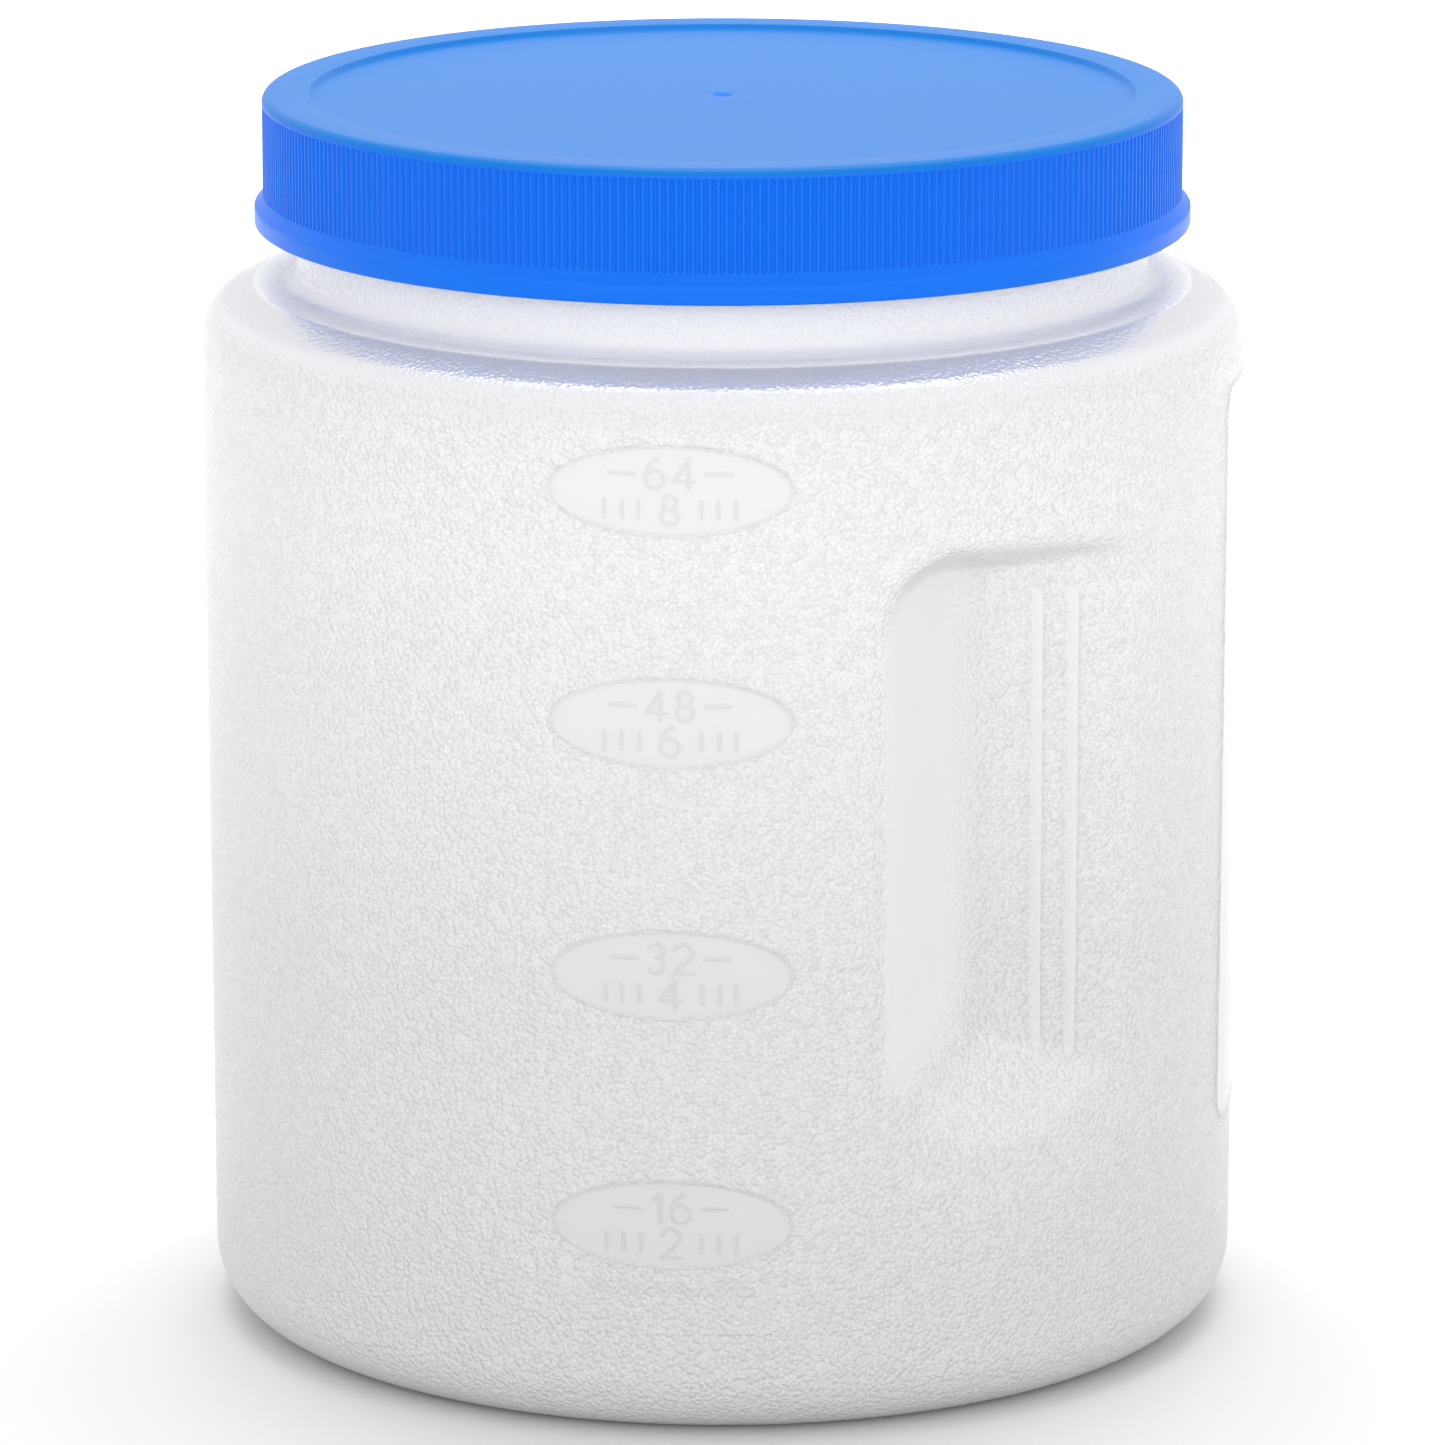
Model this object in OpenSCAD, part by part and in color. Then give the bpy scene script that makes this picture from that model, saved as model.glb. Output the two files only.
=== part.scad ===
// Two quart household storage jar: a blow moulded wide mouth jar with finger grips,
// and an injection moulded screw lid that holds a loose sealing liner.
// Millimetres. The origin is the centre of the base, +Z is up, and the volume marks face -Y.

/* [Jar body] */
// Outer diameter of the body at the top of its wall
jar_d = 144; // [140:0.5:150]
// How much narrower the body is at its base than at the top of its wall
jar_draft = 0.9; // [0:0.1:2]
// Height at which the wall turns into the shoulder
wall_h = 139; // [130:0.5:145]
// Wall thickness of the body
wall = 1.5; // [1.2:0.1:2]
// Radius of the rounded corner at the base
base_round = 9.7; // [6:0.1:14]
// Radius of the rounded shoulder
shoulder_round = 5.8; // [4:0.1:8]
// Slope of the shoulder above the horizontal, in degrees
shoulder_slope = 25; // [15:1:35]
// Height of the push-up in the middle of the base
push_up = 2.5; // [1:0.1:4]
// Width of the flat ring that the jar stands on
stand_ring = 7; // [4:0.5:12]

/* [Jar neck] */
// Outer diameter of the neck
neck_d = 117.6; // [116:0.1:118]
// Wall thickness of the neck
neck_wall = 1.8; // [1.5:0.1:2.2]
// Height of the sealing rim at the top of the neck
rim_h = 168.6; // [167:0.1:170]
// Outer diameter of the flat ledge between the sloping shoulder and the neck
ledge_d = 129.2; // [124:0.1:132]
// Radius of the fillet between the ledge and the neck
neck_fillet = 2; // [0.6:0.1:3]

/* [Finger grips] */
// Turn of the two grips' mid plane from the volume marks, in degrees
grip_turn = 114.5; // [100:0.5:125]
// Distance of each grip's flat floor from the mid plane
grip_floor = 61.8; // [60:0.1:66]
// Where the finger wall meets the floor, measured along the floor from its middle
grip_foot = 14.5; // [10:0.5:18]
// Where the finger wall meets the outside of the jar
grip_lip = -2.6; // [-6:0.1:2]
// Lower end of the floor beside the finger wall
grip_floor_low = 53; // [50:0.5:58]
// Upper end of the floor
grip_floor_top = 116.5; // [114:0.5:118]
// Lower end of the recess at the jar's surface
grip_mouth_low = 34.2; // [32:0.1:40]
// Upper end of the recess at the jar's surface
grip_mouth_top = 121.6; // [120:0.1:125]
// Radius of the recess's lower corner at the finger wall
grip_low_round = 8; // [4:0.5:10]
// Radius of the recess's upper corner at the finger wall
grip_top_round = 9; // [3:0.5:9]
// Drop of the floor's lower end for each millimetre away from the finger wall
grip_fall = 0.37; // [0:0.01:0.5]
// Where the first of the two upright ribs stands on the floor
grip_rib_at = 23.2; // [21:0.1:24]
// Distance between the two upright ribs
grip_rib_gap = 5.1; // [3:0.1:6]
// Width of a floor rib
grip_rib_w = 1.7; // [1:0.1:2.5]
// Height of a floor rib above the floor
grip_rib_h = 0.7; // [0.3:0.1:1.2]
// Height at which the floor ribs end
grip_rib_top = 113; // [105:0.5:114]

/* [Screw thread] */
// Rise of the thread in one turn
pitch = 5.08; // [4.5:0.01:6]
// Turns of thread on the neck and in the lid
turns = 1.25; // [1:0.05:1.3]
// How far the neck's thread stands out
thread_h = 1.4; // [1:0.1:1.5]
// Height on the neck where its thread starts
thread_z = 158.6; // [158:0.1:160]
// Width of a thread at its root
thread_root = 2.2; // [2:0.1:2.4]
// Width of a thread at its crest
thread_crest = 1; // [0.8:0.1:1.2]
// Gap between the flanks that bear on each other when the lid is tight
flank_gap = 0.4; // [0.3:0.05:0.6]

/* [Lid] */
// Diameter over the ribs
lid_d = 126.8; // [126:0.1:128]
// Diameter of the flange at the lid's lower edge
flange_d = 129.2; // [128.5:0.1:131]
// Height of the flange's lower edge
lid_z = 154.2; // [152:0.1:155]
// Height of the lid's raised rim
lid_top = 172.2; // [171.5:0.1:173]
// Height of the flange's upright face
flange_h = 2.7; // [2:0.1:3]
// Height of the slope between the flange and the ribs
flange_slope = 1.4; // [1:0.1:3]
// Radius of the lid's rounded upper edge
lid_round = 1.25; // [0.8:0.05:1.5]
// Diameter of the sunken disc in the lid's top
disc_d = 114.2; // [100:0.1:118]
// Depth of the sunken disc
disc_drop = 0.7; // [0.3:0.1:1]
// How far the lid's thread stands in from the skirt
lid_thread_h = 1.5; // [1:0.1:1.6]
// Inner diameter of the lid's skirt
skirt_bore = 121.8; // [121.4:0.1:122]
// Number of ribs round the skirt
rib_count = 360; // [180:10:360]
// Height of a rib above the valleys beside it
rib_h = 0.35; // [0.2:0.05:0.5]

/* [Liner] */
// Diameter of the sealing liner
liner_d = 120.6; // [119:0.1:121]
// Thickness of the sealing liner
liner_t = 1; // [0.6:0.1:1.2]

/* [Hidden] */

$fn = 96;
jar_r = jar_d / 2;
base_r = jar_r - jar_draft / 2;
neck_r = neck_d / 2;
ledge_r = ledge_d / 2;
lid_r = lid_d / 2;
// Depth of a grip's floor below the widest part of the body beside the finger wall
grip_depth = sqrt(pow(jar_r, 2) - pow(grip_lip, 2)) - grip_floor;
// Radial run of the slope up to the base's push-up
push_run = 2 * push_up;
// Height of the cavity's floor over the standing ring
floor_z = wall + 0.3;
// Rise of each sloping end of a grip, from the floor to the surface
grip_low_rise = grip_floor_low - grip_mouth_low;
grip_top_rise = grip_mouth_top - grip_floor_top;
// How far a cutter reaches past the surface that it cuts
cut_past = 4;
steps_per_turn = 72;
// Angle over which a thread's end fades into the wall
taper_turn = 20;
// Depth to which joined shapes are let into each other
embed = 0.4;
// Radius of the skirt under its ring of ribs
core_r = lid_r - rib_h - embed;
// Size of the small bevels on sharp edges
edge = 0.4;
// How far the plain band at the lid's upper edge stands proud of the ribs
band_proud = 0.05;
// Radial overlap of the two threads, and the drop that leaves flank_gap between the flanks that bear
thread_lap = neck_r + thread_h - (skirt_bore / 2 - lid_thread_h);
thread_flank = (thread_root - thread_crest) / 2;
thread_drop = thread_crest + thread_flank * thread_lap / thread_h + flank_gap;

// Points on an arc about c, from angle a0 to a1, in n steps
function arc(c, r, a0, a1, n = 8) =
    [for (i = [0:n]) let (a = a0 + (a1 - a0) * i / n) c + r * [cos(a), sin(a)]];

// Where a line that leaves p at angle a reaches the radius r
function reach(p, a, r) = [r, p[1] + (r - p[0]) * tan(a)];

// ---- jar ----

// The end of the shoulder's rounded part, moved inwards by the wall thickness t
function shoulder_end(t) = [jar_r - shoulder_round, wall_h]
    + (shoulder_round - t) * [sin(shoulder_slope), cos(shoulder_slope)];

// Half outline of the jar, moved inwards by t: 0 is its outside, wall is its cavity
function wall_outline(t) = concat(
    arc([base_r - base_round, base_round], base_round - t, -90, 0),
    arc([jar_r - shoulder_round, wall_h], shoulder_round - t, 0, 90 - shoulder_slope)
);

module outer_half() {
    ledge = reach(shoulder_end(0), -shoulder_slope, ledge_r);
    fillet_c = [neck_r, ledge[1]] + neck_fillet * [1, 1];
    ring_in = base_r - base_round - stand_ring;
    polygon(concat(
        [[0, push_up], [ring_in - push_run, push_up], [ring_in, 0]],
        wall_outline(0),
        [ledge],
        arc(fillet_c, neck_fillet, 270, 180, 4),
        [[neck_r, rim_h - edge], [neck_r - edge, rim_h], [0, rim_h]]
    ));
}

module cavity_half() {
    bore_r = neck_r - neck_wall;
    ring_in = base_r - base_round - stand_ring;
    ledge = reach(shoulder_end(wall), -shoulder_slope, ledge_r - wall * tan(shoulder_slope / 2));
    polygon(concat(
        [[0, push_up + floor_z], [ring_in - push_run, push_up + floor_z], [ring_in, floor_z]],
        [for (p = wall_outline(wall)) [p[0], max(p[1], floor_z)]],
        [ledge, [bore_r, ledge[1]], [bore_r, rim_h + cut_past], [0, rim_h + cut_past]]
    ));
}

// Brings a grip, drawn with its floor across -Y, round to its place on the jar
module at_grip() {
    rotate([0, 0, grip_turn - 90]) children();
}

// One finger recess as a cutter, with all of its faces moved inwards by t.
// Seen from above it is a wedge: a sloping finger wall, then a flat floor that runs out.
// Seen from outside its corners at the finger wall are rounded, and its lower end is a long slope.
module grip_cutter(t) {
    out = jar_r + cut_past;
    y_floor = -(grip_floor - t);
    lean = (grip_foot - grip_lip) / grip_depth;
    foot = grip_foot - t * end_grow(grip_foot - grip_lip);
    lip = foot - lean * (out + y_floor);
    low_z = grip_floor_low - t * end_grow(grip_low_rise);
    top_z = grip_floor_top + t * end_grow(grip_top_rise);
    low_out = low_z - grip_low_rise / grip_depth * (out + y_floor);
    top_out = top_z + grip_top_rise / grip_depth * (out + y_floor);
    intersection() {
        linear_extrude(rim_h) polygon([[foot, y_floor], [lip, -out], [out, -out], [out, y_floor]]);
        rotate([90, 0, 0]) linear_extrude(out) grip_front(t, out);
        grip_ends([[y_floor, 0], [y_floor, top_z], [-out, top_out], [-out, 0]], lip, out);
        multmatrix([[1, 0, 0, 0], [0, 1, 0, 0], [-grip_fall, 0, 1, grip_fall * grip_foot], [0, 0, 0, 1]])
            grip_ends([[y_floor, low_z], [y_floor, 2 * rim_h], [-out, 2 * rim_h], [-out, low_out]], lip, out);
    }
}

// How far the foot of a sloping side moves along the floor for each millimetre that the side and
// the floor both move inwards, where the side spans run between the floor and the surface
function end_grow(run) = sqrt(1 + pow(run / grip_depth, 2)) - run / grip_depth;

// The recess's outline as seen from outside: s across and z up
module grip_front(t, far) {
    s0 = grip_lip - t;
    z0 = grip_mouth_low - t;
    z1 = grip_mouth_top + t;
    polygon(concat(
        arc([s0 + grip_low_round, z0 + grip_low_round], grip_low_round, 270, 180, 6),
        arc([s0 + grip_top_round, z1 - grip_top_round], grip_top_round, 180, 90, 5),
        [[far, z1], [far, z0 - grip_fall * far]]
    ));
}

// A side view outline, y across and z up, drawn out along the recess
module grip_ends(outline, from, to) {
    translate([from, 0, 0]) rotate([90, 0, 90]) linear_extrude(to - from) polygon(outline);
}

module both_grips(t) {
    at_grip() {
        grip_cutter(t);
        mirror([0, 1, 0]) grip_cutter(t);
    }
}

// The two low upright ribs on a grip's floor
module grip_rib_pair() {
    for (s = [grip_rib_at, grip_rib_at + grip_rib_gap]) {
        z0 = grip_floor_low - grip_fall * (s - grip_foot);
        translate([s - grip_rib_w / 2, -grip_floor - grip_rib_h, z0])
            cube([grip_rib_w, grip_rib_h + embed, grip_rib_top - z0]);
    }
}

// A right-hand thread of trapezoid section. It starts on +X at z, and its ends fade into the wall.
// side is 1 for a thread that stands out from a neck, and -1 for one that stands into a bore.
module thread(root_r, height, z, side) {
    n = round(turns * steps_per_turn);
    sweep = 360 / steps_per_turn;
    low = root_r - side * embed;
    function rise_at(i) = let (a = min(i, n - i) * sweep)
        -embed / 2 + (height + embed / 2) * min(1, a / taper_turn);
    function outline(top) =
        [[low, -thread_root / 2], [top, -thread_crest / 2], [top, thread_crest / 2], [low, thread_root / 2]];
    function section(i) = let (a = i * sweep, c = z + pitch * a / 360)
        [for (p = outline(root_r + side * rise_at(i))) [p[0] * cos(a), p[0] * sin(a), c + p[1]]];
    points = [for (i = [0:n]) each section(i)];
    skin = [for (i = [0:n - 1], k = [0:3]) let (a = 4 * i + k, b = 4 * i + (k + 1) % 4) [a, b, b + 4, a + 4]];
    faces = concat([[3, 2, 1, 0]], skin, [[for (k = [0:3]) 4 * n + k]]);
    polyhedron(points, side > 0 ? faces : [for (f = faces) [for (k = [len(f) - 1:-1:0]) f[k]]]);
}

module jar() {
    color([0.92, 0.93, 0.94, 0.7]) union() {
        difference() {
            rotate_extrude() outer_half();
            both_grips(0);
            difference() {
                rotate_extrude() cavity_half();
                both_grips(wall);
            }
        }
        at_grip() {
            grip_rib_pair();
            mirror([0, 1, 0]) grip_rib_pair();
        }
        thread(neck_r, thread_h, thread_z, 1);
    }
}

// ---- lid ----

module lid_half() {
    skin_r = lid_r + band_proud;
    ceiling = rim_h + liner_t;
    slope_z = lid_z + flange_h;
    rib_z0 = slope_z + flange_slope;
    rib_z1 = lid_top - lid_round;
    bore = skirt_bore / 2;
    polygon(concat(
        [[bore + edge, lid_z], [flange_d / 2 - edge, lid_z], [flange_d / 2, lid_z + edge]],
        [[flange_d / 2, slope_z], [skin_r, rib_z0], [core_r, rib_z0], [core_r, rib_z1]],
        arc([skin_r - lid_round, rib_z1], lid_round, 0, 90, 5),
        [[disc_d / 2, lid_top], [disc_d / 2 - disc_drop, lid_top - disc_drop], [0, lid_top - disc_drop]],
        [[0, ceiling], [bore - edge, ceiling], [bore, ceiling - edge], [bore, lid_z + edge]]
    ));
}

// The fine upright ribs, as a ring that is let into the skirt at its inside and both ends
module rib_ring() {
    z0 = lid_z + flange_h + flange_slope - embed;
    z1 = lid_top - lid_round + embed / 2;
    valley_r = lid_r - rib_h;
    step = 360 / rib_count;
    translate([0, 0, z0]) linear_extrude(z1 - z0) difference() {
        polygon([for (i = [0:rib_count - 1], k = [0, 1])
            let (a = (i + k / 2) * step, r = k == 0 ? lid_r : valley_r) r * [cos(a), sin(a)]]);
        circle(r = core_r - embed / 2);
    }
}

module lid() {
    color([0.10, 0.42, 0.93]) union() {
        rotate_extrude() lid_half();
        rib_ring();
        thread(skirt_bore / 2, lid_thread_h, thread_z - thread_drop, -1);
    }
}

// ---- liner ----

module liner() {
    color([0.93, 0.93, 0.91]) translate([0, 0, rim_h]) cylinder(d = liner_d, h = liner_t);
}

jar();
lid();
liner();
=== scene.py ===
# Two quart storage jar: a translucent blow moulded jar with finger grips and volume marks,
# and a blue screw lid over a foam liner. Lengths are in millimetres until a mesh is made.
import math

import bpy
import numpy as np
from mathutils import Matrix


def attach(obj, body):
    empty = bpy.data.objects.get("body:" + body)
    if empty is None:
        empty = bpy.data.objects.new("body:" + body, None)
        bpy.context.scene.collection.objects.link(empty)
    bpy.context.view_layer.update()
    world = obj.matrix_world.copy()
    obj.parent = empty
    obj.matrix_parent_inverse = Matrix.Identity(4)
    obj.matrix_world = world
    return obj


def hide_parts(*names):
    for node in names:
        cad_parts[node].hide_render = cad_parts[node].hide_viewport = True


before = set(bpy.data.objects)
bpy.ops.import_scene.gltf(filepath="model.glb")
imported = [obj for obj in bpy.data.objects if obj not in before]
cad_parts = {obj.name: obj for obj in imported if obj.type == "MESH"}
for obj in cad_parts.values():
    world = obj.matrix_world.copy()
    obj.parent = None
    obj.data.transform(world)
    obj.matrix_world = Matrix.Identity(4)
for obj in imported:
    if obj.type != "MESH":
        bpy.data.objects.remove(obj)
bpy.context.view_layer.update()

MM = 0.001


# ---- camera ----

CAMERA_TURN = 5.5
CAMERA_PITCH = 13.49
CAMERA_REACH = 1.2427
CAMERA_HEIGHT = 0.3807
LENS = 227.46


def add_camera():
    """A long lens from a little above the lid's rim, turned slightly towards the grip."""
    turn = math.radians(CAMERA_TURN)
    data = bpy.data.cameras.new("camera")
    data.lens = LENS
    data.clip_start, data.clip_end = 0.05, 20
    cam = bpy.data.objects.new("camera", data)
    cam.location = (CAMERA_REACH * math.sin(turn), -CAMERA_REACH * math.cos(turn), CAMERA_HEIGHT)
    cam.rotation_euler = (math.radians(90 - CAMERA_PITCH), 0, turn)
    bpy.context.collection.objects.link(cam)
    bpy.context.scene.camera = cam


add_camera()


# ---- shared shape functions ----

def smooth_max(a, b, k):
    """The larger of a and b, rounded where they are within k of each other."""
    h = np.maximum(k - np.abs(a - b), 0) / k
    return np.maximum(a, b) + h * h * k / 4


def smooth_min(a, b, k):
    """The smaller of a and b, rounded where they are within k of each other."""
    return -smooth_max(-a, -b, k)


def step(x, width):
    """0 below -width / 2, 1 above width / 2 and smooth between."""
    t = np.clip(x / width + 0.5, 0, 1)
    return t * t * (3 - 2 * t)


def ridge(distance, half, soft):
    """1 on a line, falling to 0 round half its width away."""
    return step(half - distance, soft)


def arc(cx, cy, r, a0, a1, n):
    """Points on an arc, angles in degrees."""
    a = np.radians(np.linspace(a0, a1, n))
    return [(cx + r * math.cos(t), cy + r * math.sin(t)) for t in a]


def between(start, end, shares):
    """Points on a straight line, at the given shares of the way from start to end."""
    dx, dy = end[0] - start[0], end[1] - start[1]
    return [(start[0] + dx * t, start[1] + dy * t) for t in shares]


def spaced(*parts):
    """Sorted numbers from (start, end, step) parts, without repeats."""
    out = [np.linspace(a, b, max(2, round((b - a) / d) + 1)) for a, b, d in parts]
    values = np.sort(np.concatenate(out))
    return values[np.concatenate([[True], np.diff(values) > 0.02])]


def ring_points(r, z, phi):
    """Vertices of rings about the axis, with phi counted from -Y towards +X."""
    return np.stack([r * np.sin(phi), -r * np.cos(phi), z], -1).reshape(-1, 3)


def grid_faces(rows, cols):
    """Quads of a grid whose columns close into a ring."""
    i = np.arange(rows - 1)[:, None] * cols
    j = np.arange(cols)[None, :]
    k = (j + 1) % cols
    return np.stack([i + j, i + k, i + cols + k, i + cols + j], -1).reshape(-1, 4)


def fan_faces(first, cols, pole, flip):
    """Triangles from a ring of vertices to a pole."""
    j = np.arange(cols)
    k = (j + 1) % cols
    pair = (k, j) if flip else (j, k)
    return np.stack([first + pair[0], first + pair[1], np.full(cols, pole)], -1)


def make_mesh(name, verts, face_sets, body, replaced):
    """A smooth mesh in metres from millimetre vertices and arrays of faces."""
    mesh = bpy.data.meshes.new(name)
    mesh.vertices.add(len(verts))
    mesh.vertices.foreach_set("co", (verts * MM).astype(np.float32).ravel())
    loops = np.concatenate([f.ravel() for f in face_sets]).astype(np.int32)
    sizes = np.concatenate([np.full(len(f), f.shape[1]) for f in face_sets])
    starts = np.concatenate([[0], np.cumsum(sizes)[:-1]]).astype(np.int32)
    mesh.loops.add(len(loops))
    mesh.loops.foreach_set("vertex_index", loops)
    mesh.polygons.add(len(sizes))
    mesh.polygons.foreach_set("loop_start", starts)
    mesh.polygons.foreach_set("use_smooth", np.ones(len(sizes), dtype=bool))
    mesh.update(calc_edges=True)
    obj = bpy.data.objects.new(name, mesh)
    bpy.context.collection.objects.link(obj)
    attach(obj, body)
    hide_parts(replaced)
    return obj


def add_attribute(obj, name, values):
    """Stores one number, or one vector, for each vertex."""
    values = np.asarray(values, dtype=np.float32)
    kind, field = ("FLOAT", "value") if values.ndim == 1 else ("FLOAT_VECTOR", "vector")
    layer = obj.data.attributes.new(name, kind, "POINT")
    layer.data.foreach_set(field, values.ravel())


# ---- jar: body ----

BASE_R, TOP_R, WALL_TOP = 71.55, 72.0, 139.0
WALL = 1.5
CORNER = 9.7
SHOULDER_R, SHOULDER_SLOPE = 5.8, 25.0
NECK_R, NECK_WALL, RIM = 58.8, 1.8, 168.6
LEDGE_R, FILLET = 64.6, 2.0
PUSH_UP, PUSH_RUN, RING_IN = 2.5, 6.0, 54.85
BORE, FLOOR_Z = NECK_R - NECK_WALL, WALL + 0.3
SLOPE = math.radians(SHOULDER_SLOPE)
# Where the shoulder's curve ends, and the height of the flat ledge that its slope rises to
CURVE_END = (TOP_R - SHOULDER_R * (1 - math.sin(SLOPE)), WALL_TOP + SHOULDER_R * math.cos(SLOPE))
LEDGE_Z = CURVE_END[1] + (CURVE_END[0] - LEDGE_R) * math.tan(SLOPE)
# Strength of the pebble grain on the base, shoulder, neck, ledge and inside; it is 1 on the wall
BASE_GRAIN, SHOULDER_GRAIN, NECK_GRAIN, PLAIN_GRAIN, INSIDE_GRAIN = 0.3, 0.75, 0.45, 0.15, 0.1


def body_radius(z):
    """Outer radius of the wall, which widens a little upwards."""
    return BASE_R + (TOP_R - BASE_R) * (z - CORNER) / (WALL_TOP - CORNER)


# ---- jar: tone of the plastic, with painted light and shade ----

# Heights and tones on the foot, wall, shoulder, ledge, neck and the neck's thread, with painted
# shade towards the foot and on the shoulder, and painted light on the ledge and neck
TONE_AND_SHADE_HEIGHTS = (0, 33, 62, 120, 138, 141, LEDGE_Z - 0.25, LEDGE_Z - 0.05, 152, 157)
TONES_AND_SHADES = (0.665, 0.705, 0.725, 0.86, 0.86, 0.77, 0.77, 1.0, 1.0, 0.8)
# The polished finger walls take a painted tone in place of most of the painted shade by height
FINGER_PAINTED_TONE, FINGER_PAINTED_SHARE = 0.79, 0.8
# Painted shade in the grips' folds and under their ceilings, and at the feet of raised lines
FOLD_SHADE, EDGE_SHADE = 0.12, 0.14
# Tint of the plastic, and painted light on the neck, which is paler and warmer
PLAIN_TINT, NECK_PAINTED_LIGHT = np.array((0.99, 0.995, 1.005)), np.array((1.04, 1.03, 1.005))
CONE_GLOSS = 0.35


def height_tone_and_shade(z):
    """Paleness at a height, matched to the photo, with painted light and shade: it grows up the
    wall, so the foot is painted darker, drops on the shoulder as painted shade and is highest on
    the ledge and the neck as painted light."""
    return np.interp(z, TONE_AND_SHADE_HEIGHTS, TONES_AND_SHADES)


def tinted(tone_and_shade, z):
    """Colour of the plastic from its painted tone, with painted light on the neck, which is paler
    and warmer.
    """
    neck = step(z - LEDGE_Z + 0.15, 0.15)[..., None]
    return tone_and_shade[..., None] * (PLAIN_TINT + neck * (NECK_PAINTED_LIGHT - PLAIN_TINT))


def shoulder_gloss(r, z):
    """How much the cone below the ledge mirrors the lid above it."""
    above = (z > WALL_TOP + 3) & (z < LEDGE_Z + 0.15)
    outer = CURVE_END[0] + 0.75
    return CONE_GLOSS * step(r - LEDGE_R + 0.2, 0.7) * step(outer - r, 1.5) * above


# ---- jar: finger grips ----

GRIP_TURN = 114.5
GRIP_FLOOR, GRIP_FOOT, GRIP_LIP = 61.8, 14.5, -2.6
GRIP_LOW, GRIP_LOW_OUT = 53.0, 34.2
GRIP_TOP, GRIP_TOP_OUT = 116.7, 121.6
GRIP_TOP_ROUND = 12.5
GRIP_FALL, GRIP_RISE = 0.37, 0.06
GRIP_DEPTH = math.sqrt(TOP_R ** 2 - GRIP_LIP ** 2) - GRIP_FLOOR
GRIP_RIBS, GRIP_RIB_W, GRIP_RIB_H, GRIP_RIB_TOP = (23.2, 28.3), 1.7, 0.7, 113.0
# How widely the faces blend: finger wall with slope, ceiling with floor, and then those two pairs
SLOPE_BLEND, CEILING_BLEND, PAIR_BLEND = 9, 3, 2.4
# How widely the recess blends with the jar's wall at the finger wall, and how much more elsewhere
LIP_BLEND, LIP_EXTRA = 2.2, 3.0
# Radius of a recess where there is none, far outside the wall
NO_RECESS = 999


def grip_angles(phi):
    """Angles from the normals of the two grips, of which the second mirrors the first."""
    normal = math.radians(GRIP_TURN - 90)
    for turned in (phi, math.radians(2 * GRIP_TURN) - phi):
        yield (turned - normal + math.pi) % (2 * math.pi) - math.pi


def grip_ceiling(s, z, t):
    """Distance inside the recess's upper edge, which has a rounded corner at the finger wall."""
    left, up = GRIP_LIP - t - s + GRIP_TOP_ROUND, z - GRIP_TOP_OUT - t + GRIP_TOP_ROUND
    outside = np.hypot(np.maximum(left, 0), np.maximum(up, 0)) + np.minimum(np.maximum(left, up), 0)
    return GRIP_TOP_ROUND - outside


def grip_faces(a, z, t):
    """Radii of a grip's floor, finger wall, ceiling and lower slope at angle a from its normal,
    all moved inwards by t."""
    s, c = np.sin(a), np.cos(a)
    lean = (GRIP_FOOT - GRIP_LIP) / GRIP_DEPTH
    rise = (GRIP_TOP_OUT - GRIP_TOP) / GRIP_DEPTH
    drop = (GRIP_LOW - GRIP_LOW_OUT) / GRIP_DEPTH
    floor = GRIP_FLOOR - t
    foot = GRIP_FOOT - t * (math.hypot(1, lean) - lean)
    under = z - GRIP_RISE * (TOP_R * s - GRIP_FOOT)
    low = GRIP_LOW - t * (math.hypot(1, drop) - drop)
    return (
        floor / c,
        (foot + lean * floor) / (s + lean * c),
        (GRIP_FLOOR + GRIP_DEPTH - grip_ceiling(TOP_R * s, under, t) / rise) / c,
        (low + drop * floor + GRIP_FALL * GRIP_FOOT - z) / (drop * c + GRIP_FALL * s),
    )


def grip_surface(a, z, t):
    """One grip with its folds rounded: its radius, how far each point is on the polished finger
    wall, how much painted shade it gets at the fold and under the ceiling (less than 0 where the
    lower slope gets painted light), and how much the lip is rounded."""
    near = np.abs(a) < math.radians(55)
    a = np.where(near, a, 0)
    floor, finger, ceiling, slope = grip_faces(a, z, t)
    sides = smooth_max(finger, slope, SLOPE_BLEND)
    floor_end = smooth_max(ceiling, floor, CEILING_BLEND)
    surface = smooth_max(sides, floor_end, PAIR_BLEND)
    on_finger = step(finger - floor - 1.5, 6) * step(finger - slope - 3, 8)
    on_ceiling = step(ceiling - np.maximum(floor, finger) + 0.8, 4)
    on_slope = step(slope - np.maximum(floor, finger), 2)
    fold = np.exp(-((finger - floor) / 2.0) ** 2)
    fold = fold * step(finger - slope, 3) * step(finger - ceiling, 2)
    painted_shade = np.maximum(0.3 * fold, on_ceiling) - 0.6 * on_slope
    lip = LIP_BLEND + LIP_EXTRA * step(np.maximum(ceiling, slope) - finger, 6)
    elsewhere = (NO_RECESS, 0, 0, LIP_BLEND)
    values = (surface, on_finger, painted_shade, lip)
    return [np.where(near, v, far) for v, far in zip(values, elsewhere)]


def grip_ribs(a, z, surface):
    """Height of the two upright ribs on a grip's floor."""
    s = surface * np.sin(a)
    total = 0
    for at in GRIP_RIBS:
        low = GRIP_LOW - GRIP_FALL * (at - GRIP_FOOT)
        ends = step(z - low - 0.6, 2) * step(GRIP_RIB_TOP - z, 1.2)
        total = total + ridge(np.abs(s - at), GRIP_RIB_W / 2 - 0.15, 0.7) * ends
    return GRIP_RIB_H * total


# ---- jar: volume marks ----

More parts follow.
